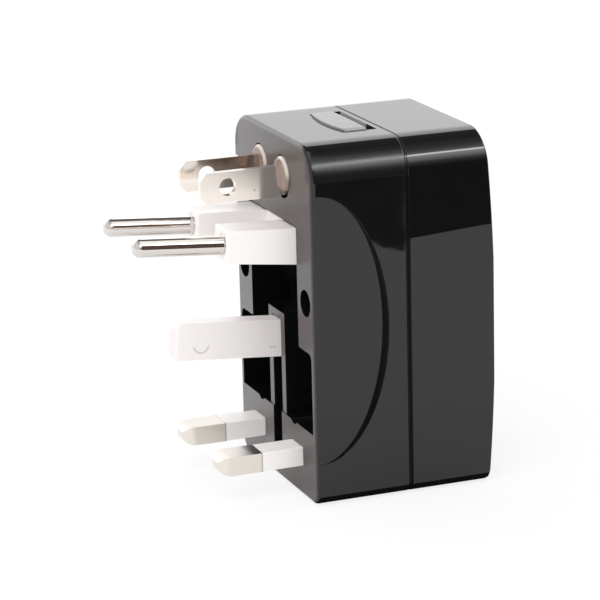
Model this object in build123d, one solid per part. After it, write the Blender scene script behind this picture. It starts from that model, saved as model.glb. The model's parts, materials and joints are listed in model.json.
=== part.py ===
from build123d import *
import os
from math import asin, radians, sin, cos

# Travel adapter with folding, turning and sliding plug pins and a socket at the back.
# Millimetres, +Z up, pins towards -Y, socket towards +Y. The origin is the centre of the bottom face.
# While the pieces are drawn, y counts from the pin face into the housing: the last step moves them.
# A name that ends in _gap is a clearance, and one that ends in _r is a radius.

# housing: its width and height follow from what it holds, further down
depth = 39.9
seam_y = 20.8
top_corner_r = 7.0
base_corner_r = 3.0
face_edge_r = 1.0
rear_edge_r = 0.35
rear_crown_r = 420.0
rear_crown_up = 35.0
rear_flat_cut = 0.2
rear_bottom_r = 1.8
wall = 2.0
rear_wall = 2.9
seam_groove_w = 0.25
seam_groove_d = 0.2
seam_front_r = 0.35
seam_rear_r = 0.15

# clearances, and how far blocks that are joined reach into each other
run_gap = 0.05
body_gap = 0.3
pass_gap = 0.15
join = 0.5

# grips pressed into both sides
grip_y = 0.9
grip_depth = 1.5
grip_skin = 1.4
grip_to_seam = 4.4
grip_to_base = 9.0
grip_below_middle = 0.4

# round pins on their folding block
eu_pin_r = 2.0
eu_pitch = 19.0
eu_pin_len = 19.0
eu_tip_r = 1.5
eu_collar_r = 2.3
eu_collar_len = 5.0
eu_tail_r = 1.5
eu_block_out = 14.5
eu_block_h = 7.5
eu_block_side = 3.7
eu_block_taper = 0.8
eu_hinge_r = 1.2
eu_stub_in = 1.9
eu_stub_out = 2.2
eu_lean = 4.5

# flat earth pin
earth_w = 4.0
earth_h = 7.9
earth_out = 23.0
earth_nose = 1.3
earth_nose_h = 1.2
earth_nose_r = 0.9
earth_hinge_r = 1.0
earth_lean = 4.7

# rectangular pins with sleeves
uk_pitch = 22.2
uk_z = 8.6
uk_w = 6.35
uk_h = 4.0
uk_out = 18.1
uk_sleeve_out = 8.8
uk_core_w = 4.6
uk_core_h = 2.4
uk_tip_len = 2.6
uk_tip_w = 2.95
uk_tip_h = 1.6
uk_bar_len = 5.0
uk_bar_side = 4.1
uk_bar_h = 8.4

# flat blades on their rotors
us_pitch = 12.7
us_drop = 1.0
us_w = 6.35
us_t = 1.5
us_out = 17.8
us_hole_in = 5.8
us_hole_r = 1.8
us_tip_w = 1.45
us_tip_len = 1.25
us_tip_r = 0.5
us_turn = 30
neck_low = 2.6
neck_high = 2.0
neck_out = 2.1
rotor_r = 4.0
rotor_out = 0.5
rotor_bevel = 0.4
rotor_len = 6.0
rotor_flange = 0.6
rotor_flange_len = 1.0
blade_sweep_gap = 0.475
carriage_front = 1.2
carriage_low = 5.35
carriage_high = 4.85
carriage_dip_half = 3.2
carriage_dip = 1.9
shelf_t = 1.2

# heights: each set of pins stands above the one before it
uk_to_well = 6.4
eu_to_us = 13.65
us_to_top = 8.45
well_bottom_z = uk_z + uk_to_well
eu_hinge_gap = 0.45
eu_hinge_y = eu_block_h / 2 + eu_hinge_gap
eu_hinge_z = well_bottom_z + eu_pin_len + eu_block_out + eu_hinge_y
us_axis_z = eu_hinge_z + eu_to_us
height = us_axis_z + us_to_top

# socket in the back
socket_z = 28.0
socket_earth_up = 22.2
socket_ground_up = 11.9
socket_round_r = 2.6
socket_flat_w = 1.9
socket_flat_h = 7.0
socket_rect_w = 7.0
socket_rect_h = 4.6
socket_earth_w = 4.6
socket_earth_h = 8.6

# widths: the shutter covers the widest pair of holes, its ears stand on springs, then come the side walls
shutter_side = 0.4
shutter_ear = 3.4
shutter_ear_gap = 1.0
shutter_half = uk_pitch / 2 + socket_rect_w / 2 + shutter_side
shutter_ear_half = shutter_half + shutter_ear
cavity_half = shutter_ear_half + shutter_ear_gap
width = 2 * (cavity_half + grip_skin + grip_depth)

# recess that the folded round-pin block lies in
well_back_gap = 0.75
well_top_gap = 0.85
well_step_gap = 2.0
well_skin = 1.8
well_back = 1.2
well_corner_r = 1.5
well_depth = eu_hinge_y + eu_block_h / 2 + well_back_gap
well_top_z = eu_hinge_z + eu_block_h / 2 + well_top_gap
well_step_z = eu_hinge_z - eu_hinge_y - eu_block_out - well_step_gap
eu_block_half = eu_pitch / 2 + eu_block_side
well_upper_half = eu_block_half + body_gap
well_lower_half = width / 2 - well_skin
tip_groove_r = 2.3
tip_groove_up = 1.65

# rib with the slot for the earth pin
slot_side_gap = 0.45
slot_end_gap = 0.6
slot_top_gap = 0.65
slot_back_gap = 0.5
rib_wall = 2.15
rib_top_wall = 1.5
rib_setback = 0.3
rib_notch_gap = 0.35
earth_hinge_gap = 0.35
slot_bottom_z = wall + 0.6
earth_hinge_y = earth_h / 2 + earth_hinge_gap
earth_hinge_z = slot_bottom_z + slot_end_gap + earth_out + earth_hinge_y
slot_half = earth_w / 2 + slot_side_gap
slot_top_z = earth_hinge_z + earth_h / 2 + slot_top_gap
rib_half = slot_half + rib_wall
rib_top_z = slot_top_z + rib_top_wall
eu_notch_half = rib_half + rib_notch_gap
eu_notch_y = 0.3

# hollow of the housing
inner_y = depth - rear_wall
well_back_y = well_depth + well_back

# current path
bus_t = 0.5
bus_side_gap = 0.6
bus_front = 1.3
bus_low = 0.5
bus_high = 1.65
contact_t = 0.5
wiper_tongue_low = 1.0
wiper_tongue_high = 3.0
wiper_up = 4.0
bus_x0 = uk_pitch / 2 + uk_core_w / 2 + bus_side_gap
bus_y0 = well_back_y + bus_front
eu_contact_half_h = 2.3
eu_contact_in = 8.0
eu_contact_pad = 1.2
eu_contact_gap = 0.45

# carriages that the sliding pins stand on
uk_bar_y0 = well_back_y + body_gap
uk_bar_y1 = uk_bar_y0 + uk_bar_len
uk_bar_half = uk_pitch / 2 + uk_bar_side
uk_bar_z0 = uk_z - uk_bar_h / 2
uk_bar_z1 = uk_z + uk_bar_h / 2
carriage_y0 = wall + carriage_front
carriage_y1 = carriage_y0 + rotor_len
carriage_half = bus_x0 - 1.2
carriage_z0 = us_axis_z - carriage_low
carriage_z1 = us_axis_z + carriage_high
carriage_dip_z = carriage_z1 - carriage_dip
rail_x = 8.0
rail_w = 1.6

# slide button on the top
button_half = 9.9
button_len = 4.5
button_bow = 1.2
button_travel = 2.0
button_slot_margin = 1.3
button_rise = 0.5
button_end_drop = 0.32
button_end_len = 1.3
button_crown = 0.08
button_gap = 0.15
button_edge_r = 0.12
button_plate_side = 2.2
button_plate_front = 1.0
button_plate_rear = 1.9
button_plate_t = 1.0
button_plate_gap = 0.2
tooth_half = 2.4
tooth_gap = 0.4
button_spring_r = 0.95
button_spring_len = 6.1
button_stop_t = 1.2
button_slot_end = seam_y - button_slot_margin
button_y1 = button_slot_end - button_travel - button_plate_gap
button_y0 = button_y1 - button_len
button_plate_y1 = button_y1 + button_plate_rear
button_plate_z1 = height - wall - button_plate_gap
button_plate_z0 = button_plate_z1 - button_plate_t
button_spring_end = button_plate_y1 + button_spring_len

# screws and their bosses
screw_inset = 4.5
screw_up = 10.2
screw_head_hole_r = 2.8
screw_head_r = 2.4
screw_head_h = 1.7
screw_r = 1.1
screw_seat_y = 6.0
screw_seat_t = 2.5
screw_len = 20.0
screw_grip = 0.02
screw_cross = 1.3
screw_cross_w = 0.6
boss_front_half = 4.0
boss_rear_half = 3.2
boss_side_gap = 0.7
screw_x = width / 2 - screw_inset
screw_z = well_step_z + screw_up
boss_front_y = screw_seat_y + screw_seat_t

# spring contacts of the socket
socket_contact_len = 6.7
socket_contact_half_h = 3.7
socket_flat_grip = 1.0
socket_pin_grip = 1.9
socket_pin_side = 2.0

# safety shutter behind the socket holes
shutter_t = 0.8
shutter_ramp = 0.8
shutter_back_gap = 0.3
shutter_end = 0.7
shutter_travel = 9.4
shutter_ear_h = 2.2
shutter_spring_side = 0.2
shutter_spring_r = 0.8
shutter_spring_solid = 4.6
shutter_seat_t = 1.5
shutter_bus_gap = 0.4
shutter_y1 = inner_y - shutter_back_gap - shutter_ramp
shutter_y0 = shutter_y1 - shutter_t
shutter_half_h = socket_flat_h / 2 + shutter_end
shutter_ear_z = socket_z + shutter_half_h - shutter_ear_h
shutter_seat_z = shutter_ear_z - shutter_travel - shutter_spring_solid
bus_y1 = shutter_y0 - shutter_bus_gap
bus_z0 = uk_bar_z1 + bus_low
bus_z1 = us_axis_z + bus_high
post_half = 2.0
post_in = 0.8
post_out = 1.3
post_below_eu = 4.7
post_below_us = 2.35

spring_wire_r = 0.2
shutter_spring_turns = 9
button_spring_turns = 7


def box(x0, x1, y0, y1, z0, z1):
    return Pos((x0 + x1) / 2, (y0 + y1) / 2, (z0 + z1) / 2) * Box(x1 - x0, y1 - y0, z1 - z0)


# box whose x runs outwards from a to b on the given side of the middle
def side_box(side, a, b, y0, y1, z0, z1):
    x0, x1 = sorted((side * a, side * b))
    return box(x0, x1, y0, y1, z0, z1)


def rod_y(x, z, r, y0, y1):
    return Pos(x, (y0 + y1) / 2, z) * Rot(90, 0, 0) * Cylinder(r, y1 - y0)


def rod_x(y, z, r, x0, x1):
    return Pos((x0 + x1) / 2, y, z) * Rot(0, 90, 0) * Cylinder(r, abs(x1 - x0))


# outline of the housing seen from the pins, drawn at depth y and made smaller by inset
def outline(y, inset=0.0):
    shape = Rectangle(width - 2 * inset, height - 2 * inset, align=(Align.CENTER, Align.MIN))
    shape = fillet(shape.vertices().group_by(Axis.Y)[-1], top_corner_r - inset)
    shape = fillet(shape.vertices().group_by(Axis.Y)[0], base_corner_r - inset)
    return Plane(origin=(0, y, inset), x_dir=(1, 0, 0), z_dir=(0, -1, 0)) * shape


def prism(y0, y1, inset=0.0):
    return extrude(outline(y0, inset), amount=-(y1 - y0))


# hollow of the housing with rounded corners
def cavity(y0, y1):
    hollow = box(-cavity_half, cavity_half, y0, y1, wall, height - wall)
    long_edges = hollow.edges().filter_by(Axis.Y)
    return fillet(long_edges.group_by(Axis.Z)[-1], top_corner_r - wall)


# direction in the face plane, counted from straight down and towards the outside
def polar(angle, r):
    return (r * sin(radians(angle)), -r * cos(radians(angle)))


# turning a piece that is drawn square to the face up to the lean that the photo shows
def lean(shape, y, z, angle):
    return Pos(0, y, z) * Rot(-angle, 0, 0) * Pos(0, -y, -z) * shape


# one unbroken coil of round wire along Z, flat-ended by a straight cut
def coil(r, length, turns):
    path = Helix(pitch=length / turns, height=length, radius=r)
    start = Plane(origin=path @ 0, z_dir=path % 0)
    wire = sweep(start * Circle(spring_wire_r), path=path)
    return wire & Pos(0, 0, length / 2) * Box(8 * r, 8 * r, length)


# ramp that starts level with the side at the pin face and is cut off by an ellipse
def side_grip(side):
    grip_z = height / 2 - grip_below_middle
    half_y = seam_y - grip_y - grip_to_seam
    half_z = grip_z - grip_to_base
    ellipse = extrude(Ellipse(half_z, half_y), amount=2 * grip_depth, both=True)
    ring = Pos(side * width / 2, grip_y, grip_z) * Rot(0, 90, 0) * ellipse
    deep = width / 2 - grip_depth
    clear = width / 2 + grip_depth
    slope = Polyline((width / 2, 0), (deep, grip_y + half_y), (deep, seam_y), (clear, seam_y), (clear, 0),
                     close=True)
    wedge = extrude(make_face(slope), amount=height)
    if side < 0:
        wedge = mirror(wedge, about=Plane.YZ)
    return ring & wedge


# room in the rotor's hole for the blade's lower edge as it turns outwards
def blade_sweep(side):
    reach = us_drop + us_w / 2 + blade_sweep_gap
    angles = [-14, 0, us_turn / 2, us_turn, us_turn + 14]
    sector = Polyline((0, 0), *[polar(angle, 2 * reach) for angle in angles], close=True)
    notch = extrude(make_face(sector), amount=wall, both=True) & Cylinder(reach, 2 * wall)
    if side < 0:
        notch = mirror(notch, about=Plane.YZ)
    return Pos(side * us_pitch / 2, join, us_axis_z) * Rot(90, 0, 0) * notch


def front_shell():
    body = prism(0, seam_y)
    body = fillet(body.faces().sort_by(Axis.Y)[0].edges(), face_edge_r)
    body = fillet(body.faces().sort_by(Axis.Y)[-1].edges(), seam_front_r)
    body -= cavity(wall, seam_y + 1)
    front = wall - join
    low_half = cavity_half + join
    high_half = well_upper_half + well_back
    body += box(-low_half, low_half, front, well_back_y, well_bottom_z - well_back, well_step_z + well_back)
    body += box(-high_half, high_half, front, well_back_y, well_step_z, well_top_z + well_back)
    body += box(-rib_half, rib_half, front, well_back_y, front, well_bottom_z)
    shelf_half = bus_x0 - body_gap
    shelf_z = carriage_z0 - body_gap
    body += box(-shelf_half, shelf_half, front, seam_y - join, shelf_z - shelf_t, shelf_z)
    for side in (-1, 1):
        body += side_box(side, well_upper_half + join, cavity_half + join, front, boss_front_y,
                         screw_z - boss_front_half, screw_z + boss_front_half)
        body += side_box(side, rail_x, rail_x + rail_w, well_back_y, seam_y, front, uk_bar_z0 - body_gap)
    body -= box(-well_upper_half, well_upper_half, -1, well_depth, well_step_z - 1, well_top_z)
    lower = box(-well_lower_half, well_lower_half, -1, well_depth, well_bottom_z, well_step_z)
    body -= fillet(lower.edges().filter_by(Axis.Y).group_by(Axis.Z)[-1], well_corner_r)
    body += box(-rib_half, rib_half, rib_setback, well_back_y, well_bottom_z - join, rib_top_z)
    slot_back = earth_hinge_y + earth_h / 2 + slot_back_gap
    body -= box(-slot_half, slot_half, -1, slot_back, slot_bottom_z, slot_top_z)
    body -= rod_x(earth_hinge_y, earth_hinge_z, earth_hinge_r, *earth_hinge_ends())
    slot = button_plan(button_half + button_gap, button_y0 - button_gap, button_slot_end)
    body -= Pos(0, 0, height - wall - join) * extrude(slot, amount=wall + join + 1)
    for side in (-1, 1):
        body -= rod_y(side * eu_pitch / 2, well_bottom_z + tip_groove_up, tip_groove_r, -1, well_depth)
        body -= eu_hinge_stub(side)
        x = side * eu_pitch / 2
        pad = eu_contact_pad + 2 * body_gap
        body -= box(x - pad, x + pad, well_depth - join, well_back_y + join,
                    eu_hinge_z - pad, eu_hinge_z + pad)
        x = side * uk_pitch / 2
        body -= box(x - uk_w / 2 - pass_gap, x + uk_w / 2 + pass_gap, -1, wall + join,
                    uk_z - uk_h / 2 - pass_gap, uk_z + uk_h / 2 + pass_gap)
        body -= rod_y(side * us_pitch / 2, us_axis_z, rotor_r + body_gap, -1, wall + join)
        body -= blade_sweep(side)
        body -= rod_y(side * screw_x, screw_z, screw_head_hole_r, -1, screw_seat_y)
        body -= rod_y(side * screw_x, screw_z, screw_r + run_gap, screw_seat_y - join, boss_front_y + 1)
        body -= side_grip(side)
    return body


def rear_shell():
    groove_end = seam_y + seam_groove_w
    body = prism(groove_end, depth)
    body &= rod_x(depth + rear_flat_cut - rear_crown_r, rear_crown_up, rear_crown_r, -width, width)
    rim = body.edges().filter_by(lambda edge: edge.center().Y > seam_y + depth / 4)
    rim = rim.filter_by(lambda edge: edge.length < width / 2 or abs(edge.center().X) > width / 4
                        or abs(edge.center().Z - height / 2) > height / 3)
    body = fillet(rim, rear_edge_r)
    reach = (rear_crown_r - rear_bottom_r) ** 2 - (rear_crown_up - rear_bottom_r) ** 2
    round_y = depth + rear_flat_cut - rear_crown_r + reach ** 0.5
    round_z = rear_bottom_r - rear_bottom_r * (rear_crown_up - rear_bottom_r) / (rear_crown_r - rear_bottom_r)
    body -= (box(-width, width, round_y, depth + 1, -1, round_z)
             - rod_x(round_y, rear_bottom_r, rear_bottom_r, -width, width))
    body = fillet(body.faces().sort_by(Axis.Y)[0].edges(), seam_rear_r)
    body += prism(seam_y, groove_end, seam_groove_d)
    body -= cavity(seam_y - 1, inner_y)
    back = inner_y + join
    shelf_half = bus_x0 - body_gap
    shelf_z = carriage_z0 - body_gap
    body += box(-shelf_half, shelf_half, seam_y, back, shelf_z - shelf_t, shelf_z)
    stop_half = tooth_half + pass_gap
    body += box(-stop_half, stop_half, button_spring_end, button_spring_end + button_stop_t,
                carriage_dip_z + 2 * body_gap, height - wall + join)
    for side in (-1, 1):
        body += side_box(side, rail_x, rail_x + rail_w, seam_y, back, wall - join, uk_bar_z0 - body_gap)
        body += side_box(side, bus_x0 + bus_t + boss_side_gap, cavity_half - pass_gap, boss_front_y, back,
                         screw_z - boss_rear_half, screw_z + boss_rear_half)
        screw_end = screw_seat_y + screw_len + 1
        body -= rod_y(side * screw_x, screw_z, screw_r + screw_grip, boss_front_y - 1, screw_end)
        for post_z in (eu_hinge_z - post_below_eu, us_axis_z - post_below_us):
            body += side_box(side, bus_x0 - post_in, bus_x0 + post_out, bus_y1, back,
                             post_z - post_half, post_z + post_half)
        body += side_box(side, shutter_half + body_gap, shutter_ear_half + body_gap, bus_y1, back,
                         shutter_seat_z - shutter_seat_t, shutter_seat_z)
    for hole in socket_holes():
        body -= hole
    return body


# openings of the socket, cut through the back wall
def socket_holes():
    y0 = inner_y - join
    y1 = depth + 1
    holes = []
    for side in (-1, 1):
        holes.append(rod_y(side * eu_pitch / 2, socket_z, socket_round_r, y0, y1))
        x = side * uk_pitch / 2
        holes.append(box(x - socket_rect_w / 2, x + socket_rect_w / 2, y0, y1,
                         socket_z - socket_rect_h / 2, socket_z + socket_rect_h / 2))
        flat = box(-socket_flat_w / 2, socket_flat_w / 2, y0, y1, -socket_flat_h / 2, socket_flat_h / 2)
        holes.append(Pos(side * us_pitch / 2, 0, socket_z) * flat)
        holes.append(Pos(side * us_pitch / 2, 0, socket_z) * Rot(0, -side * us_turn, 0) * flat)
    earth_z = socket_z + socket_earth_up
    holes.append(box(-socket_earth_w / 2, socket_earth_w / 2, y0, y1,
                     earth_z - socket_earth_h / 2, earth_z + socket_earth_h / 2))
    holes.append(rod_y(0, socket_z + socket_ground_up, socket_round_r, y0, y1))
    return holes


# round pin with its collar and tail inside the block, before the lean
def eu_pin(side):
    x = side * eu_pitch / 2
    collar_end = -eu_block_out + eu_collar_len
    shank = rod_y(x, eu_hinge_z, eu_pin_r, -(eu_block_out + eu_pin_len), -eu_block_out)
    shank = fillet(shank.edges().group_by(Axis.Y)[0], eu_tip_r)
    collar = rod_y(x, eu_hinge_z, eu_collar_r, -eu_block_out, collar_end)
    tail = rod_y(x, eu_hinge_z, eu_tail_r, collar_end, eu_hinge_y + eu_block_h)
    x0 = x - eu_block_side
    x1 = x + eu_block_side
    reach = box(x0, x1, -eu_block_out, eu_hinge_y, eu_hinge_z - eu_block_h, eu_hinge_z + eu_block_h)
    reach += rod_x(eu_hinge_y, eu_hinge_z, eu_block_h / 2, x0, x1)
    return shank + collar + (tail & reach)


def eu_block():
    root = Plane(origin=(0, 0, eu_hinge_z), x_dir=(1, 0, 0), z_dir=(0, -1, 0))
    front = root.offset(eu_block_out)
    front_section = Rectangle(2 * (eu_block_half - eu_block_taper), eu_block_h - eu_block_taper)
    arms = loft([root * Rectangle(2 * eu_block_half, eu_block_h), front * front_section])
    arms = fillet(arms.edges().filter_by(Axis.Y, reverse=True).group_by(Axis.Y)[0], 0.4)
    low = eu_hinge_z - eu_block_h / 2
    high = eu_hinge_z + eu_block_h / 2
    body = arms + box(-eu_block_half, eu_block_half, 0, eu_hinge_y, low, high)
    body += rod_x(eu_hinge_y, eu_hinge_z, eu_block_h / 2, -eu_block_half, eu_block_half)
    body -= box(-eu_notch_half, eu_notch_half, -eu_block_out - 1, eu_notch_y, low - 1, high + 1)
    for side in (-1, 1):
        body -= eu_pin(side)
        body -= rod_x(eu_hinge_y, eu_hinge_z, eu_hinge_r + run_gap,
                      side * (eu_block_half - eu_stub_in - 2 * run_gap), side * (eu_block_half + 1))
    return body


def eu_hinge_stub(side):
    inner = side * (eu_block_half - eu_stub_in)
    outer = side * (eu_block_half + eu_stub_out)
    return rod_x(eu_hinge_y, eu_hinge_z, eu_hinge_r, inner, outer)


def earth_pin():
    half = earth_h / 2
    low = earth_hinge_z - half
    high = earth_hinge_z + half
    body = box(-earth_w / 2, earth_w / 2, -earth_out, earth_hinge_y, low, high)
    body = chamfer(body.edges().filter_by(Axis.X).group_by(Axis.Y)[0], earth_nose, earth_nose_h)
    body = fillet(body.faces().sort_by(Axis.Y)[0].edges(), earth_nose_r)
    body += rod_x(earth_hinge_y, earth_hinge_z, half, -earth_w / 2, earth_w / 2)
    body -= rod_x(earth_hinge_y, earth_hinge_z, earth_hinge_r + run_gap, -earth_w, earth_w)
    return body


# ends of the earth pin's hinge pin, inside the walls of the rib
def earth_hinge_ends():
    half = rib_half - 2 * body_gap
    return -half, half


def earth_hinge_pin():
    return rod_x(earth_hinge_y, earth_hinge_z, earth_hinge_r, *earth_hinge_ends())


def uk_core(side, y0, y1):
    x = side * uk_pitch / 2
    return box(x - uk_core_w / 2, x + uk_core_w / 2, y0, y1, uk_z - uk_core_h / 2, uk_z + uk_core_h / 2)


# outline of a nose that narrows in two arcs from half a width to a smaller one
def bullet(half, tip_half, length):
    drop = half - tip_half
    r = (drop ** 2 + length ** 2) / (2 * drop)
    turn = asin(length / r) / 2
    middle = (half - r + r * cos(turn), r * sin(turn))
    right = ThreePointArc((half, 0), middle, (tip_half, length))
    left = ThreePointArc((-tip_half, length), (-middle[0], middle[1]), (-half, 0))
    ends = [Line((tip_half, length), (-tip_half, length)), Line((-half, 0), (half, 0))]
    return make_face(Curve() + [right, left] + ends)


def uk_blade(side):
    x = side * uk_pitch / 2
    shoulder_y = -uk_out + uk_tip_len
    from_above = Plane(origin=(x, shoulder_y, uk_z), x_dir=(1, 0, 0), z_dir=(0, 0, -1))
    from_side = Plane(origin=(x, shoulder_y, uk_z), x_dir=(0, 0, 1), z_dir=(1, 0, 0))
    straight = box(x - uk_w / 2, x + uk_w / 2, shoulder_y, -uk_sleeve_out, uk_z - uk_h / 2, uk_z + uk_h / 2)
    nose = extrude(from_above * bullet(uk_w / 2, uk_tip_w / 2, uk_tip_len), amount=uk_h, both=True)
    nose &= extrude(from_side * bullet(uk_h / 2, uk_tip_h / 2, uk_tip_len), amount=uk_w, both=True)
    return straight + nose + uk_core(side, -uk_sleeve_out, uk_bar_y1)


def uk_sleeve(side):
    x = side * uk_pitch / 2
    body = box(x - uk_w / 2, x + uk_w / 2, -uk_sleeve_out, uk_bar_y0, uk_z - uk_h / 2, uk_z + uk_h / 2)
    body = fillet(body.edges().filter_by(Axis.Y), 0.25)
    return body - uk_core(side, -uk_sleeve_out - 1, uk_bar_y0 + 1)


def uk_carriage():
    body = box(-uk_bar_half, uk_bar_half, uk_bar_y0, uk_bar_y1, uk_bar_z0, uk_bar_z1)
    for side in (-1, 1):
        body -= uk_core(side, uk_bar_y0 - 1, uk_bar_y1 + 1)
    return body


# strip from the pin's end up to a tongue that runs on the rail
def uk_wiper(side):
    inner = bus_x0 - bus_side_gap
    y1 = uk_bar_y1 + contact_t
    body = side_box(side, uk_pitch / 2, inner, uk_bar_y1, y1, uk_z - uk_core_h / 2, bus_z0 + wiper_up)
    return body + side_box(side, inner, bus_x0 - body_gap, uk_bar_y1, y1,
                           bus_z0 + wiper_tongue_low, bus_z0 + wiper_tongue_high)


# flat blade: the wide part outside, a narrow neck through the rotor
def us_blade(side):
    x = side * us_pitch / 2
    z = us_axis_z - us_drop
    blade = box(x - us_t / 2, x + us_t / 2, -us_out, -rotor_out, z - us_w / 2, z + us_w / 2)
    blade = chamfer(blade.edges().filter_by(Axis.X).group_by(Axis.Y)[0], us_tip_w, us_tip_len)
    tip_edges = blade.edges().filter_by(Axis.X).group_by(Axis.Y)
    blade = fillet(tip_edges[0] + tip_edges[1], us_tip_r)
    blade -= rod_x(us_hole_in - us_out, z, us_hole_r, x - us_t, x + us_t)
    neck = box(x - us_t / 2, x + us_t / 2, -rotor_out, carriage_y1 + neck_out,
               us_axis_z - neck_low, us_axis_z + neck_high)
    return blade + neck


def us_rotor(side):
    x = side * us_pitch / 2
    flange_y = carriage_y1 + run_gap
    drum = rod_y(x, us_axis_z, rotor_r, -rotor_out, flange_y)
    drum = chamfer(drum.edges().group_by(Axis.Y)[0], rotor_bevel)
    drum += rod_y(x, us_axis_z, rotor_r + rotor_flange, flange_y, flange_y + rotor_flange_len)
    return drum - us_blade(side)


def us_carriage():
    body = box(-carriage_half, carriage_half, carriage_y0, carriage_y1, carriage_z0, carriage_z1)
    body -= box(-carriage_dip_half, carriage_dip_half, 0, depth, carriage_dip_z, carriage_z1 + 1)
    for side in (-1, 1):
        body -= rod_y(side * us_pitch / 2, us_axis_z, rotor_r + run_gap, 0, depth)
    return body


# strip behind the blade's neck, with a tongue that runs on the rail
def us_wiper(side):
    z0 = us_axis_z - neck_low - run_gap
    z1 = us_axis_z + neck_high + run_gap
    y1 = carriage_y1 + neck_out + body_gap
    y2 = y1 + contact_t
    outer = carriage_half + contact_t
    body = side_box(side, carriage_half, outer, carriage_y0 + rotor_len / 3, y2, z0, z1)
    body += side_box(side, us_pitch / 2 - neck_high, outer, y1, y2, z0, z1)
    return body + side_box(side, outer, bus_x0 - body_gap, y1, y2, z0 + 1, z1 - 1)


def bus_bar(side):
    return side_box(side, bus_x0, bus_x0 + bus_t, bus_y0, bus_y1, bus_z0, bus_z1)


def eu_contact(side):
    x = side * eu_pitch / 2
    front = eu_hinge_y + eu_block_h / 2 + eu_contact_gap
    body = side_box(side, eu_contact_in, bus_x0, bus_y0, bus_y0 + contact_t,
                    eu_hinge_z - eu_contact_half_h, eu_hinge_z + eu_contact_half_h)
    return body + box(x - eu_contact_pad, x + eu_contact_pad, front, bus_y0,
                      eu_hinge_z - eu_contact_pad, eu_hinge_z + eu_contact_pad)


# plate on the rail, two leaves that grip a flat blade and two that grip a round or rectangular pin
def socket_contact(side):
    y1 = bus_y1 - run_gap
    y0 = y1 - socket_contact_len
    z0 = socket_z - socket_contact_half_h
    z1 = socket_z + socket_contact_half_h
    flat = us_pitch / 2
    near = flat - socket_flat_grip
    far = flat + socket_flat_grip
    body = side_box(side, near - contact_t, bus_x0, y0, y0 + contact_t, z0, z1)
    body += side_box(side, near - contact_t, near, y0, y1, z0, z1)
    body += side_box(side, far, far + contact_t, y0, y1, z0, z1)
    for low in (socket_z - socket_pin_grip - contact_t, socket_z + socket_pin_grip):
        body += side_box(side, flat + socket_pin_side, bus_x0, y0, y1, low, low + contact_t)
    return body


def shutter():
    low = socket_z - shutter_half_h
    high = socket_z + shutter_half_h
    body = box(-shutter_half, shutter_half, shutter_y0, shutter_y1, low, high)
    ramp = Polyline((shutter_y1, low), (shutter_y1 + shutter_ramp, low), (shutter_y1, high), close=True)
    ramp = extrude(Plane.YZ * make_face(ramp), amount=shutter_half)
    body += ramp + mirror(ramp, about=Plane.YZ)
    for side in (-1, 1):
        body += side_box(side, shutter_half - join, shutter_ear_half, shutter_y0, shutter_y1 + shutter_ramp,
                         shutter_ear_z, high)
    return body


def shutter_spring(side):
    x = side * (shutter_half + shutter_ear / 2 + shutter_spring_side)
    y = (shutter_y0 + shutter_y1 + shutter_ramp) / 2
    wire = coil(shutter_spring_r, shutter_ear_z - shutter_seat_z, shutter_spring_turns)
    return Pos(x, y, shutter_seat_z) * wire


# outline of the button seen from above, bowed towards the pins
def button_plan(half, front, rear):
    bow = ThreePointArc((half, front), (0, front - button_bow), (-half, front))
    return make_face(Curve() + [bow, Polyline((-half, front), (-half, rear), (half, rear), (half, front))])


# the button's cap: a low crown whose ends slope down to the roof
def lock_button():
    base = button_plate_z1 - join
    top = height + button_rise
    end = top - button_end_drop
    flat = button_half - button_end_len
    crown = ThreePointArc((-flat, top - button_crown), (0, top), (flat, top - button_crown))
    rim = Polyline((flat, top - button_crown), (button_half, end), (button_half, base), (-button_half, base),
                   (-button_half, end), (-flat, top - button_crown))
    side_view = Plane.XZ * make_face(Curve() + [crown, rim])
    plan = button_plan(button_half, button_y0, button_y1)
    cap = Pos(0, 0, base) * extrude(plan, amount=top - base)
    cap &= extrude(side_view, amount=depth, both=True)
    cap = fillet(cap.edges().filter_by(lambda edge: edge.center().Z > end + run_gap), button_edge_r)
    plate_half = button_half + button_plate_side
    front = button_y0 - button_bow - button_plate_front
    plate = box(-plate_half, plate_half, front, button_plate_y1, button_plate_z0, button_plate_z1)
    tooth = box(-tooth_half, tooth_half, button_y0 + 1, button_plate_y1,
                carriage_dip_z + tooth_gap, button_plate_z0)
    return cap + plate + tooth


def lock_spring():
    z = (carriage_dip_z + 2 * body_gap + height - wall) / 2
    wire = coil(button_spring_r, button_spring_len, button_spring_turns)
    return Pos(0, button_plate_y1, z) * Rot(-90, 0, 0) * wire


def screw(side):
    x = side * screw_x
    front = screw_seat_y - screw_head_h
    head = rod_y(x, screw_z, screw_head_r, front, screw_seat_y)
    head = chamfer(head.edges().group_by(Axis.Y)[0], 0.4)
    for half_x, half_z in ((screw_cross, screw_cross_w / 2), (screw_cross_w / 2, screw_cross)):
        head -= box(x - half_x, x + half_x, front - 1, front + 0.9, screw_z - half_z, screw_z + half_z)
    return head + rod_y(x, screw_z, screw_r, screw_seat_y, screw_seat_y + screw_len)


pieces = {
    "front_shell": front_shell(),
    "rear_shell": rear_shell(),
    "lock_button": lock_button(),
    "lock_spring": lock_spring(),
    "eu_block": lean(eu_block(), eu_hinge_y, eu_hinge_z, eu_lean),
    "earth_pin": lean(earth_pin(), earth_hinge_y, earth_hinge_z, earth_lean),
    "earth_hinge_pin": earth_hinge_pin(),
    "uk_carriage": uk_carriage(),
    "us_carriage": us_carriage(),
    "shutter": shutter(),
}

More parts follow.
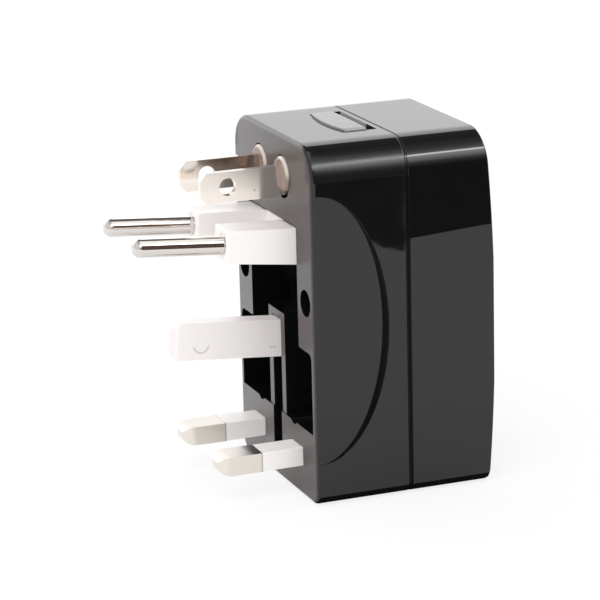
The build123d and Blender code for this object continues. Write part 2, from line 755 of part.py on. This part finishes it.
# number 1 lies towards +X, number 2 towards -X
for number, side in ((1, 1), (2, -1)):
    pieces[f"eu_pin_{number}"] = lean(eu_pin(side), eu_hinge_y, eu_hinge_z, eu_lean)
    pieces[f"eu_hinge_stub_{number}"] = eu_hinge_stub(side)
    pieces[f"eu_contact_{number}"] = eu_contact(side)
    pieces[f"uk_blade_{number}"] = uk_blade(side)
    pieces[f"uk_sleeve_{number}"] = uk_sleeve(side)
    pieces[f"uk_wiper_{number}"] = uk_wiper(side)
    pieces[f"us_blade_{number}"] = us_blade(side)
    pieces[f"us_rotor_{number}"] = us_rotor(side)
    pieces[f"us_wiper_{number}"] = us_wiper(side)
    pieces[f"bus_bar_{number}"] = bus_bar(side)
    pieces[f"socket_contact_{number}"] = socket_contact(side)
    pieces[f"shutter_spring_{number}"] = shutter_spring(side)
    pieces[f"screw_{number}"] = screw(side)

os.makedirs("parts", exist_ok=True)
for name, shape in pieces.items():
    placed = Pos(0, -depth / 2, 0) * shape
    export_step(placed, f"parts/{name}.step")
    print(name, len(placed.solids()), round(placed.volume, 1))
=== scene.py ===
from math import cos, radians, sin
import json

import bpy
from mathutils import Matrix, Vector


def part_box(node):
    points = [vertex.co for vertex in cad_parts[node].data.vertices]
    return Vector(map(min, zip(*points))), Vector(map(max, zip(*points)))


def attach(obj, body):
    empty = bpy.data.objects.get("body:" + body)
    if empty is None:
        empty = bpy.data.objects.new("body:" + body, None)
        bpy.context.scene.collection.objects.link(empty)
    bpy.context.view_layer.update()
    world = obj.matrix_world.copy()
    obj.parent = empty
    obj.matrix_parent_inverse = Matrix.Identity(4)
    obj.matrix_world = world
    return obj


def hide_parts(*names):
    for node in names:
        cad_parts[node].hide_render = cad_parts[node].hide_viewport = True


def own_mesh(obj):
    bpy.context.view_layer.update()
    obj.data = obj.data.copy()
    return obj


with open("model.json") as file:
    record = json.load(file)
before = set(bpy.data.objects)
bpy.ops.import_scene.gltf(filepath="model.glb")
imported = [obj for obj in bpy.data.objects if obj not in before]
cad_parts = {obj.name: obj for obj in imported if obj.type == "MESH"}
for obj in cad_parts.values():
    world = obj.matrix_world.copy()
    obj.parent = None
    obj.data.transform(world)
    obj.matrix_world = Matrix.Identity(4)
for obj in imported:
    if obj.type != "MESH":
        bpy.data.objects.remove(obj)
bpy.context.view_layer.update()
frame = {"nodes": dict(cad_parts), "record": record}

# camera, in metres and degrees, found from the photo's perspective
camera_place = Vector((0.52543, -0.2136, 0.19211))
camera_turn_z = 69.229
camera_turn_x = 74.651
camera_roll = -1.463
camera_lens = 167.68
camera_sensor = 36.0

# floor, and how much of it is plain white for the camera and in the gloss
floor_half = 4.0
floor_white = 0.95
floor_plain_seen = 0.8
floor_plain_mirrored = 0.3

# lamps: place, size in metres and power in watts
lamp_target = Vector((0, 0, 0.035))
key_lamp = ((0.5, -0.5, 0.9), 0.6, 4.0)
fill_lamp = ((-0.7, -0.3, 0.6), 0.8, 2.0)

# The world's light, and what the gloss sees of it. A window is an azimuth, a half width and a soft edge in
# degrees. A profile is pairs of elevation in degrees and strength. least_flat keeps a division from zero
# straight overhead.
world_ambient = 0.91
gloss_ambient = 0.13
least_flat = 0.001
backdrop_window = (160.0, 62.0, 8.0)
backdrop_profile = ((-90, 1.0), (0, 1.32), (12, 1.40), (30, 1.95), (46, 2.3), (49, 0.04), (60, 0.03),
                    (90, 0.0))
lamp_window = (35.0, 50.0, 12.0)
lamp_profile = ((-90, 0.0), (8, 0.0), (17, 0.42), (23, 1.7), (29.5, 3.0), (35.5, 4.2), (37.5, 4.6),
                (38.5, 12.5), (42, 12.5), (43, 2.0), (51, 0.8), (57, 0.45), (64, 0.2), (90, 0.0))
rest_window = (-90.0, 75.0, 15.0)
rest_profile = ((-90, 0.5), (0, 0.7), (40, 0.8), (60, 0.5), (90, 0.2))

# cards that only the gloss sees
card_lift = 0.0003
card_shade = (0.03, 0.03, 0.03)
dark_card_outline = ((3.0, 0.10), (0.274, 0.072), (0.213, 0.0750), (0.2075, 0.0785), (0.2195, 0.0842),
                     (0.237, 0.0919), (0.262, 0.1026), (0.300, 0.1190), (0.32, 0.27), (3.0, 3.0))
edge_strip_inside = 0.003
edge_strip_outside = 0.0009
side_flag_x = 0.060
side_flag_outline = ((0.0169, 0.0440), (0.0352, 0.0451), (0.075, 0.0455), (0.075, 0.072), (0.0169, 0.072))
pin_flag_x = 0.100
pin_flag_low = (-0.045, 0.050)
pin_flag_high = (0.012, 0.118)
pin_flag_shade = (0.12, 0.075, 0.065)
pin_light_z = 0.150
pin_light_low = (0.005, -0.060)
pin_light_high = (0.095, 0.010)
pin_light_strength = 1.35

# places on the object, taken from the frame
housing_low, housing_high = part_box("front_shell")
rear_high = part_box("rear_shell")[1]
half_width = housing_high.x
pin_face_y = housing_low.y
seam_depth = 0.0208
seam_y = pin_face_y + seam_depth
corner_r = 0.007
roof_z = rear_high.z
corner_z = roof_z - corner_r

# noise values that give the least and the most roughness, and what the plastics share
noise_span = (0.3, 0.7)
shell_black = (0.0060, 0.0062, 0.0062)
black_deep_share = 0.6
white_rough = (0.34, 0.44)
white_scatter = 0.12
white_scatter_tint = (1.0, 0.45, 0.35)
white_scatter_reach = 0.0015
matt_spread = 0.06

# Marks on the pieces. A pair of values is the two ends of a mark's soft border, in metres from the place that
# the code gives with it, or else from the origin. The pairs that tell where a surface faces are parts of a
# unit normal: turned_to_pins, earth_end, metal_top, wedge_top, button_front and button_side. The front
# shell's marks come first.
corner_foot = (-0.0004, 0.0003)
corner_head = (0.0046, 0.0052)
corner_inner = (-0.0030, -0.0026)
corner_rough = 0.20
turned_to_pins = (-0.95, -0.6)
pin_face_skin = (0.0002, 0.0006)
pin_face_rough = 0.30
# painted light on the pin face: paler at its far side, darker at its near side
pin_face_far_painted_light = (0.120, 0.110, 0.112)
pin_face_near_painted_light = (0.042, 0.032, 0.031)
pin_face_span = 0.8
# painted pale reflection on the far part of the slot's rear wall, and where it lies
slot_wall_y = (-0.004, -0.003)
slot_wall_x = (0.0040, 0.0046)
slot_wall_z = (-0.0032, -0.0028)
slot_wall_painted_reflection = (0.45, 0.45, 0.44)

# dull line along the seam, which ends where the top's rounding starts, and its share of mirrored light
seam_half = (0.00045, 0.00060)
seam_top = (-0.0010, 0.0005)
seam_dull = 0.08
plain_gloss = 0.5

# marks on the rotors, from the rim's radius and from the axis: a painted highlight on the upper rim and a
# painted shadow at the foot
rotor_rim_inset = 0.0006
rotor_rim = (-0.0007, -0.0004)
rotor_rim_painted_highlight = (0.60, 0.53, 0.47)
rotor_upper = (-0.0005, 0.0015)
# painted shadow at the rotor's foot, standing in for the dark notch below the blade
rotor_foot = (-0.0029, -0.0023)
rotor_foot_painted_shadow = (0.030, 0.018, 0.016)

# marks on the earth pin: half a ring left by the mould, a short grey smudge and painted warm shade on its end
mark_shade = (0.66, 0.60, 0.59)
ring_centre = (-0.03705, 0.0314)
ring_inner = (0.0013, 0.00155)
ring_outer = (0.00165, 0.0019)
ring_lower = (0.0309, 0.0316)
smudge_centre = (-0.0214, 0.02905)
smudge_half_length = (0.0005, 0.0009)
smudge_half_height = (0.0001, 0.0003)
smudge_strength = 0.8
earth_end = (-0.9, -0.3)
earth_end_painted_shade = (0.84, 0.72, 0.72)
earth_end_painted_strength = 0.9

# marks on the plated pins and blades, with painted dark reflections on their tops, on the near pin's wedge
# and at the far blade's root
metal_top = (0.4, 0.9)
metal_top_painted_reflection = (0.50, 0.47, 0.44)
middle = (-0.001, 0.001)
# painted dark reflection of the housing on the far blade's root
far_blade_root = (-0.0350, -0.0290)
far_blade_root_painted_reflection = (0.62, 0.54, 0.47)
pit_centre = (-0.0262, 0.06415)
pit_r = (0.00010, 0.00028)
pit_shade = (0.25, 0.20, 0.18)
pit_strength = 0.8
# painted dark reflection as a wedge on the near pin's top, and where it lies
wedge_top = (0.5, 0.9)
wedge_start = (-0.0318, -0.0300)
wedge_painted_reflection = (0.13, 0.11, 0.10)
sleeve_end = (-0.02915, -0.02890)
sleeve_end_shade = (0.40, 0.32, 0.26)
sleeve_end_strength = 0.7

# painted light on the button's front and near side
button_front = (-0.7, -0.3)
button_front_painted_light = (0.26, 0.26, 0.25)
button_side = (0.3, 0.7)
button_side_painted_light = (0.30, 0.30, 0.29)

# Springs, each with a joint, its direction, the spring's fixed end and the share of its length that is kept;
# nothing in the script shortens them.
springs = {
    "lock_spring": ("lock_slide", (0, 1, 0), (0.0, 0.00535, 0.0714), 0.672),
    "shutter_spring_1": ("shutter_slide", (0, 0, 1), (0.0169, 0.01595, 0.016), 0.3286),
    "shutter_spring_2": ("shutter_slide", (0, 0, 1), (-0.0169, 0.01595, 0.016), 0.3286),
}


# A material is a Principled shader whose varying inputs come from noise in object coordinates.
def new_material(name):
    made = bpy.data.materials.new(name)
    made.use_nodes = True
    tree = made.node_tree
    shader = tree.nodes["Principled BSDF"]
    place = tree.nodes.new("ShaderNodeTexCoord").outputs["Object"]
    return made, tree, shader, place


def math_node(tree, operation, *values):
    made = tree.nodes.new("ShaderNodeMath")
    made.operation = operation
    for socket, value in zip(made.inputs, values):
        if isinstance(value, (int, float)):
            socket.default_value = value
        else:
            tree.links.new(value, socket)
    return made.outputs[0]


def product(tree, first, *others):
    for other in others:
        first = math_node(tree, "MULTIPLY", first, other)
    return first


# how far a value is from a middle, either way
def off_middle(tree, source, centre):
    return math_node(tree, "ABSOLUTE", math_node(tree, "SUBTRACT", source, centre))


def root_of_squares(tree, first, second):
    return math_node(tree, "SQRT", math_node(tree, "ADD", product(tree, first, first),
                                             product(tree, second, second)))


# distance from a centre in a plane
def distance(tree, painted_light_across, up, centre):
    return root_of_squares(tree, math_node(tree, "SUBTRACT", painted_light_across, centre[0]),
                           math_node(tree, "SUBTRACT", up, centre[1]))


# value between low and high as source goes from start to end
def ramp(tree, source, start, end, low, high):
    made = tree.nodes.new("ShaderNodeMapRange")
    made.interpolation_type = "SMOOTHSTEP"
    tree.links.new(source, made.inputs["Value"])
    for key, value in (("From Min", start), ("From Max", end), ("To Min", low), ("To Max", high)):
        made.inputs[key].default_value = value
    return made.outputs["Result"]


# mask that is full above a border, which lies at base
def above(tree, source, border, base=0.0, full=1.0):
    return ramp(tree, source, base + border[0], base + border[1], 0, full)


# mask that is full below a border, which lies at base
def below(tree, source, border, base=0.0, full=1.0):
    return ramp(tree, source, base + border[0], base + border[1], full, 0)


# noise of about the given grain in metres, stretched along an axis where stretch isn't 1
def noise(tree, place, grain, detail=3.0, stretch=(1, 1, 1)):
    scaled = tree.nodes.new("ShaderNodeMapping")
    scaled.inputs["Scale"].default_value = [1 / (grain * s) for s in stretch]
    tree.links.new(place, scaled.inputs["Vector"])
    made = tree.nodes.new("ShaderNodeTexNoise")
    made.inputs["Scale"].default_value = 1.0
    made.inputs["Detail"].default_value = detail
    tree.links.new(scaled.outputs["Vector"], made.inputs["Vector"])
    return made.outputs["Fac"]


def mix_colours(tree, factor, first, second):
    made = tree.nodes.new("ShaderNodeMix")
    made.data_type = "RGBA"
    tree.links.new(factor, made.inputs["Factor"])
    for key, value in (("A", first), ("B", second)):
        socket = [s for s in made.inputs if s.name == key and s.type == "RGBA"][0]
        if hasattr(value, "links"):
            tree.links.new(value, socket)
        else:
            socket.default_value = (*value, 1)
    return [s for s in made.outputs if s.type == "RGBA"][0]


def vary_colour(tree, shader, source, first, second):
    tree.links.new(mix_colours(tree, source, first, second), shader.inputs["Base Color"])


def vary_roughness(tree, shader, source, low, high):
    tree.links.new(ramp(tree, source, *noise_span, low, high), shader.inputs["Roughness"])


def bump(tree, shader, height, depth):
    made = tree.nodes.new("ShaderNodeBump")
    made.inputs["Distance"].default_value = depth
    made.inputs["Strength"].default_value = 1.0
    tree.links.new(height, made.inputs["Height"])
    tree.links.new(made.outputs["Normal"], shader.inputs["Normal"])


def separate(tree, vector):
    made = tree.nodes.new("ShaderNodeSeparateXYZ")
    tree.links.new(vector, made.inputs[0])
    return made.outputs


# glossy black plastic with faint moulding waves
def black_plastic(name, rough_low, rough_high, pale=shell_black):
    made, tree, shader, place = new_material(name)
    deep = [black_deep_share * value for value in pale]
    vary_colour(tree, shader, noise(tree, place, grain=0.006), deep, pale)
    vary_roughness(tree, shader, noise(tree, place, grain=0.004, detail=5.0), rough_low, rough_high)
    bump(tree, shader, noise(tree, place, grain=0.005, detail=1.0), depth=0.000004)
    return made


# white moulded plastic, slightly see-through, with a warm tint in its shadows
def white_plastic(name, pale, deep):
    made, tree, shader, place = new_material(name)
    vary_colour(tree, shader, noise(tree, place, grain=0.009), pale, deep)
    vary_roughness(tree, shader, noise(tree, place, grain=0.002, detail=4.0), *white_rough)
    shader.inputs["Subsurface Weight"].default_value = white_scatter
    shader.inputs["Subsurface Radius"].default_value = white_scatter_tint
    shader.inputs["Subsurface Scale"].default_value = white_scatter_reach
    bump(tree, shader, noise(tree, place, grain=0.0006, detail=2.0), depth=0.000008)
    return made


# bare metal, cloudy in colour and in roughness
def metal(name, pale, deep, rough_low, rough_high, grain=0.0012, stretch=(1, 1, 1), depth=0.000006):
    made, tree, shader, place = new_material(name)
    vary_colour(tree, shader, noise(tree, place, grain=0.004), pale, deep)
    clouds = noise(tree, place, grain, 4.0, stretch)
    vary_roughness(tree, shader, clouds, rough_low, rough_high)
    shader.inputs["Metallic"].default_value = 1.0
    if depth > 0:
        bump(tree, shader, clouds, depth)
    return made


# plated metal: no bump, and its roughness changes slowly along the pin
def plated(name, pale, deep, rough_low, rough_high):
    return metal(name, pale, deep, rough_low, rough_high, grain=0.004, stretch=(1, 12, 1), depth=0)


def matt_plastic(name, pale, deep, rough):
    made, tree, shader, place = new_material(name)
    vary_colour(tree, shader, noise(tree, place, grain=0.002, detail=5.0), pale, deep)
    vary_roughness(tree, shader, noise(tree, place, grain=0.001, detail=4.0),
                   rough - matt_spread, rough + matt_spread)
    bump(tree, shader, noise(tree, place, grain=0.0004, detail=3.0), depth=0.00001)
    return made


materials = {
    "shell_front": black_plastic("front_shell_black", 0.02, 0.04),
    "shell_rear": black_plastic("rear_shell_black", 0.012, 0.025),
    "button": black_plastic("button_black", 0.16, 0.24, (0.15, 0.15, 0.145)),
    "white_block": white_plastic("block_white", (0.92, 0.88, 0.87), (0.90, 0.86, 0.85)),
    "white_earth": white_plastic("earth_white", (0.92, 0.88, 0.87), (0.90, 0.86, 0.85)),
    "white_sleeve": white_plastic("sleeve_white", (0.94, 0.90, 0.89), (0.92, 0.88, 0.87)),
    "white_inner": matt_plastic("inner_white", (0.74, 0.74, 0.71), (0.66, 0.66, 0.63), 0.5),
    "rotor_grey": matt_plastic("rotor_beige", (0.27, 0.19, 0.160), (0.24, 0.165, 0.140), 0.35),
    "steel": metal("plain_steel", (0.62, 0.62, 0.62), (0.50, 0.50, 0.51), 0.25, 0.4),
    "spring_steel": metal("spring_wire", (0.58, 0.58, 0.60), (0.45, 0.45, 0.47), 0.2, 0.35),
    "eu_chrome": plated("bright_nickel", (0.70, 0.66, 0.63), (0.67, 0.63, 0.60), 0.07, 0.10),
    "pin_nickel": plated("satin_nickel", (0.80, 0.75, 0.69), (0.78, 0.73, 0.67), 0.30, 0.34),
    "blade_nickel": plated("warm_nickel", (0.90, 0.83, 0.77), (0.88, 0.81, 0.75), 0.10, 0.13),
    "contact_brass": metal("stamped_brass", (0.75, 0.56, 0.26), (0.62, 0.44, 0.18), 0.22, 0.38),
}


# a material's nodes, and the object coordinates and normals as separate values
def places(name):
    tree = materials[name].node_tree
    coordinates = tree.nodes.new("ShaderNodeTexCoord")
    return tree, separate(tree, coordinates.outputs["Object"]), separate(tree, coordinates.outputs["Normal"])


def shader_input(name, key):
    return materials[name].node_tree.nodes["Principled BSDF"].inputs[key]


# lays a colour over a material's own where all the masks are full
def lay_over(name, colour, *masks):
    tree = materials[name].node_tree
    socket = shader_input(name, "Base Color")
    own = socket.links[0].from_socket
    tree.links.new(mix_colours(tree, product(tree, *masks), own, colour), socket)


# adds to a material's roughness where the mask is full
def roughen(name, amount, mask):
    tree = materials[name].node_tree
    socket = shader_input(name, "Roughness")
    own = socket.links[0].from_socket
    tree.links.new(math_node(tree, "ADD", own, product(tree, mask, amount)), socket)


# satin bands on the top corners, satin pin face with painted light, paler at its far side, and a painted pale
# reflection on the far part of the slot's rear wall
def dress_front_shell():
    tree, place, facing = places("shell_front")
    outside = math_node(tree, "ABSOLUTE", place["X"])
    corner = product(tree, above(tree, place["Z"], corner_foot, corner_z),
                     below(tree, place["Z"], corner_head, corner_z),
                     above(tree, outside, corner_inner, half_width))
    roughen("shell_front", corner_rough, corner)
    pin_ward = below(tree, facing["Y"], turned_to_pins)
    pin_side = product(tree, pin_ward, below(tree, place["Y"], pin_face_skin, pin_face_y))
    roughen("shell_front", pin_face_rough, pin_side)
    # painted light: the pin face is paler at its far side than at its near side
    painted_light_across = ramp(tree, place["X"], -half_width, pin_face_span * half_width, 0, 1)
    lay_over("shell_front", mix_colours(tree, painted_light_across, pin_face_far_painted_light, pin_face_near_painted_light), pin_side)
    # painted pale reflection on the far part of the slot's rear wall
    lay_over("shell_front", slot_wall_painted_reflection, above(tree, place["Y"], slot_wall_y),
             below(tree, place["X"], slot_wall_x), above(tree, place["Z"], slot_wall_z, roof_z), pin_ward)


# both shells mirror less beside the seam, but not on the top
def dress_seam():
    for name in ("shell_front", "shell_rear"):
        tree, place, _ = places(name)
        line = ramp(tree, place["Z"], corner_z + seam_top[0], corner_z + seam_top[1], seam_dull, plain_gloss)
        beside = above(tree, off_middle(tree, place["Y"], seam_y), seam_half, full=plain_gloss)
        level = math_node(tree, "MAXIMUM", line, beside)
        tree.links.new(level, shader_input(name, "Specular IOR Level"))


# painted highlight on the rotors' upper rim and painted shadow at their foot
def dress_rotors():
    low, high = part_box("us_rotor_1")
    axis = (low + high) / 2
    rim_r = (high.z - low.z) / 2 - rotor_rim_inset
    tree, place, _ = places("rotor_grey")
    away = distance(tree, math_node(tree, "ABSOLUTE", place["X"]), place["Z"], (axis.x, axis.z))
    # painted highlight on the upper rim
    lay_over("rotor_grey", rotor_rim_painted_highlight, above(tree, away, rotor_rim, rim_r),
             above(tree, place["Z"], rotor_upper, axis.z))
    # painted shadow at the rotor's foot
    lay_over("rotor_grey", rotor_foot_painted_shadow, below(tree, place["Z"], rotor_foot, axis.z))


def dress_earth():
    tree, place, facing = places("white_earth")
    away = distance(tree, place["Y"], place["Z"], ring_centre)
    lay_over("white_earth", mark_shade, above(tree, away, ring_inner), below(tree, away, ring_outer),
             below(tree, place["Z"], ring_lower))
    along = off_middle(tree, place["Y"], smudge_centre[0])
    rise = off_middle(tree, place["Z"], smudge_centre[1])
    lay_over("white_earth", mark_shade, below(tree, along, smudge_half_length, full=smudge_strength),
             below(tree, rise, smudge_half_height))
    # painted warm shade on the pin's end face
    lay_over("white_earth", earth_end_painted_shade, below(tree, facing["Y"], earth_end, full=earth_end_painted_strength))


# painted light: the button's front and near side are paler than its top
def dress_button():
    tree, _, facing = places("button")
    lay_over("button", button_front_painted_light, below(tree, facing["Y"], button_front))
    lay_over("button", button_side_painted_light, above(tree, facing["X"], button_side))


# painted dark reflections on the tops and as a wedge on the near pin's top, and a darker band where the metal
# meets its sleeve
def dress_pins():
    tree, place, facing = places("pin_nickel")
    # painted dark reflection on the tops
    lay_over("pin_nickel", metal_top_painted_reflection, above(tree, facing["Z"], metal_top))
    lay_over("pin_nickel", wedge_painted_reflection, above(tree, facing["Z"], wedge_top),
             above(tree, place["Y"], wedge_start), above(tree, place["X"], middle))
    lay_over("pin_nickel", sleeve_end_shade,
             above(tree, place["Y"], sleeve_end, full=sleeve_end_strength))


# painted dark reflections on the tops and at the far blade's root, and a small pit in each
def dress_blades():
    tree, place, facing = places("blade_nickel")
    lay_over("blade_nickel", metal_top_painted_reflection, above(tree, facing["Z"], metal_top))
    # painted dark reflection of the housing on the far blade's root
    lay_over("blade_nickel", far_blade_root_painted_reflection, below(tree, place["X"], middle),
             above(tree, place["Y"], far_blade_root))
    away = distance(tree, place["Y"], place["Z"], pit_centre)
    lay_over("blade_nickel", pit_shade, below(tree, away, pit_r, full=pit_strength))


def dress_nodes():
    slot_of = {part["node"]: part["material_slot"] for part in frame["record"]["subparts"]}
    for name, node in frame["nodes"].items():
        node.data.materials.clear()
        node.data.materials.append(materials[slot_of[name]])


# a copy of each spring stands for it, fixed to the housing, and the CAD one is hidden
def make_springs():
    for name, (joint, direction, fixed_end, kept) in springs.items():
        node = frame["nodes"][name]
        made = bpy.data.objects.new(name + "_wire", node.data.copy())
        bpy.context.scene.collection.objects.link(made)
        made.matrix_world = node.matrix_world
        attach(made, "housing")
        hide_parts(name)
        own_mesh(made)


def flat_mesh(name, corners, material):
    mesh = bpy.data.meshes.new(name)
    mesh.from_pydata(corners, [], [tuple(range(len(corners)))])
    mesh.materials.append(material)
    made = bpy.data.objects.new(name, mesh)
    bpy.context.scene.collection.objects.link(made)
    return made


def rectangle(low, high):
    return (low, (high[0], low[1]), high, (low[0], high[1]))


# a card that is seen in the gloss and nowhere else
def gloss_card(name, corners, material):
    card = flat_mesh(name, corners, material)
    card.visible_camera = False
    card.visible_diffuse = False
    card.visible_transmission = False
    card.visible_volume_scatter = False
    card.visible_shadow = False


def empty_tree(name):
    made = bpy.data.materials.new(name)
    made.use_nodes = True
    made.node_tree.nodes.clear()
    return made, made.node_tree, made.node_tree.nodes.new("ShaderNodeOutputMaterial")


def diffuse(tree, colour):
    made = tree.nodes.new("ShaderNodeBsdfDiffuse")
    made.inputs["Color"].default_value = (*colour, 1)
    return made.outputs[0]


def glow(tree, strength):
    made = tree.nodes.new("ShaderNodeEmission")
    made.inputs["Strength"].default_value = strength
    return made.outputs[0]


def dark_material(name, shade):
    made, tree, out = empty_tree(name)
    tree.links.new(diffuse(tree, shade), out.inputs["Surface"])
    return made


# white floor that keeps a soft shadow: part of what the camera sees is plain white
def make_floor():
    made, tree, out = empty_tree("floor_white")
    path = tree.nodes.new("ShaderNodeLightPath")
    seen = product(tree, path.outputs["Is Camera Ray"], floor_plain_seen)
    mirrored = product(tree, path.outputs["Is Glossy Ray"], floor_plain_mirrored)
    share = math_node(tree, "ADD", seen, mirrored)
    share = math_node(tree, "ADD", share, path.outputs["Is Transmission Ray"])
    mixed = tree.nodes.new("ShaderNodeMixShader")
    tree.links.new(share, mixed.inputs[0])
    tree.links.new(diffuse(tree, (floor_white, floor_white, floor_white)), mixed.inputs[1])
    tree.links.new(glow(tree, 1.0), mixed.inputs[2])
    tree.links.new(mixed.outputs[0], out.inputs["Surface"])
    outline = rectangle((-floor_half, -floor_half), (floor_half, floor_half))
    flat_mesh("floor", [(x, y, 0) for x, y in outline], made)


# dark studio floor past the white table top, and a line of deep shadow under the near bottom edge
def make_floor_cards():
    black = dark_material("card_black", card_shade)
    gloss_card("dark_card", [(x, y, card_lift) for x, y in dark_card_outline], black)
    outline = rectangle((half_width - edge_strip_inside, pin_face_y),
                        (half_width + edge_strip_outside, rear_high.y))
    gloss_card("edge_strip", [(x, y, card_lift) for x, y in outline], black)


# dark flags beside the part: one for the rear shell's side, one for the round pins
def make_flags():
    side_corners = [(side_flag_x, y, z) for y, z in side_flag_outline]
    gloss_card("side_flag", side_corners, dark_material("side_flag", card_shade))
    pin_corners = [(pin_flag_x, y, z) for y, z in rectangle(pin_flag_low, pin_flag_high)]
    gloss_card("pin_flag", pin_corners, dark_material("pin_flag", pin_flag_shade))


# small lamp over the pins
def make_pin_light():
    made, tree, out = empty_tree("pin_light_white")
    tree.links.new(glow(tree, pin_light_strength), out.inputs["Surface"])
    corners = [(x, y, pin_light_z) for x, y in rectangle(pin_light_low, pin_light_high)]
    gloss_card("pin_light", corners, made)


# A profile of strength over elevation, made of straight runs between its listed points. The curve's own
# scale runs from straight down at 0 to straight up at 1.
def profile(tree, height, points):
    made = tree.nodes.new("ShaderNodeFloatCurve")
    curve = made.mapping.curves[0]
    top = max(value for _, value in points)
    for number, (degrees, value) in enumerate(points):
        place = (sin(radians(degrees)) + 1) / 2
        if number < 2:
            curve.points[number].location = (place, value / top)
        else:
            curve.points.new(place, value / top)
    for point in curve.points:
        point.handle_type = "VECTOR"
    made.mapping.update()
    tree.links.new(math_node(tree, "MULTIPLY_ADD", height, 0.5, 0.5), made.inputs["Value"])
    return product(tree, made.outputs["Value"], top)


# 1 inside the given half angle of an azimuth, 0 outside it, with a soft edge
def window(tree, xyz, azimuth, half, edge):
    flat = root_of_squares(tree, xyz["X"], xyz["Y"])
    turned = math_node(tree, "ADD", product(tree, xyz["X"], cos(radians(azimuth))),
                       product(tree, xyz["Y"], sin(radians(azimuth))))
    facing = math_node(tree, "DIVIDE", turned, math_node(tree, "MAXIMUM", flat, least_flat))
    return ramp(tree, facing, cos(radians(half + edge)), cos(radians(half - edge)), 0, 1)


def mix_values(tree, factor, first, second):
    made = tree.nodes.new("ShaderNodeMix")
    tree.links.new(factor, made.inputs["Factor"])
    for key, value in (("A", first), ("B", second)):
        if isinstance(value, float):
            made.inputs[key].default_value = value
        else:
            tree.links.new(value, made.inputs[key])
    return made.outputs["Result"]


# The world is white for the camera, even for the light, and for gloss a backdrop, a lamp and a dim rest.
def make_world():
    world = bpy.data.worlds.new("studio")
    bpy.context.scene.world = world
    world.use_nodes = True
    tree = world.node_tree
    back = tree.nodes["Background"]
    xyz = separate(tree, tree.nodes.new("ShaderNodeTexCoord").outputs["Generated"])
    mirrored = gloss_ambient
    for opening, points in ((backdrop_window, backdrop_profile), (lamp_window, lamp_profile),
                            (rest_window, rest_profile)):
        strength = product(tree, window(tree, xyz, *opening), profile(tree, xyz["Z"], points))
        mirrored = math_node(tree, "ADD", strength, mirrored)
    path = tree.nodes.new("ShaderNodeLightPath")
    direct = math_node(tree, "MAXIMUM", path.outputs["Is Camera Ray"], path.outputs["Is Transmission Ray"])
    unseen = mix_values(tree, path.outputs["Is Glossy Ray"], world_ambient, mirrored)
    tree.links.new(mix_values(tree, direct, unseen, 1.0), back.inputs["Strength"])
    back.inputs["Color"].default_value = (1, 1, 1, 1)


def make_lamp(name, place, size, power):
    data = bpy.data.lights.new(name, "AREA")
    data.energy = power
    data.size = size
    lamp = bpy.data.objects.new(name, data)
    bpy.context.scene.collection.objects.link(lamp)
    lamp.location = place
    lamp.rotation_mode = "QUATERNION"
    lamp.rotation_quaternion = (lamp_target - Vector(place)).to_track_quat("-Z", "Y")
    lamp.visible_glossy = False
    lamp.visible_camera = False


def make_camera():
    data = bpy.data.cameras.new("photo_camera")
    data.sensor_width = camera_sensor
    data.lens = camera_lens
    camera = bpy.data.objects.new("photo_camera", data)
    bpy.context.scene.collection.objects.link(camera)
    turn = (Matrix.Rotation(radians(camera_turn_z), 4, "Z") @ Matrix.Rotation(radians(camera_turn_x), 4, "X")
            @ Matrix.Rotation(radians(camera_roll), 4, "Z"))
    camera.matrix_world = Matrix.Translation(camera_place) @ turn
    bpy.context.scene.camera = camera


dress_front_shell()
dress_seam()
dress_rotors()
dress_earth()
dress_button()
dress_pins()
dress_blades()
dress_nodes()
bpy.context.scene.view_settings.view_transform = "Standard"
make_springs()
make_camera()
make_world()
make_floor()
make_floor_cards()
make_flags()
make_pin_light()
make_lamp("key_lamp", *key_lamp)
make_lamp("fill_lamp", *fill_lamp)
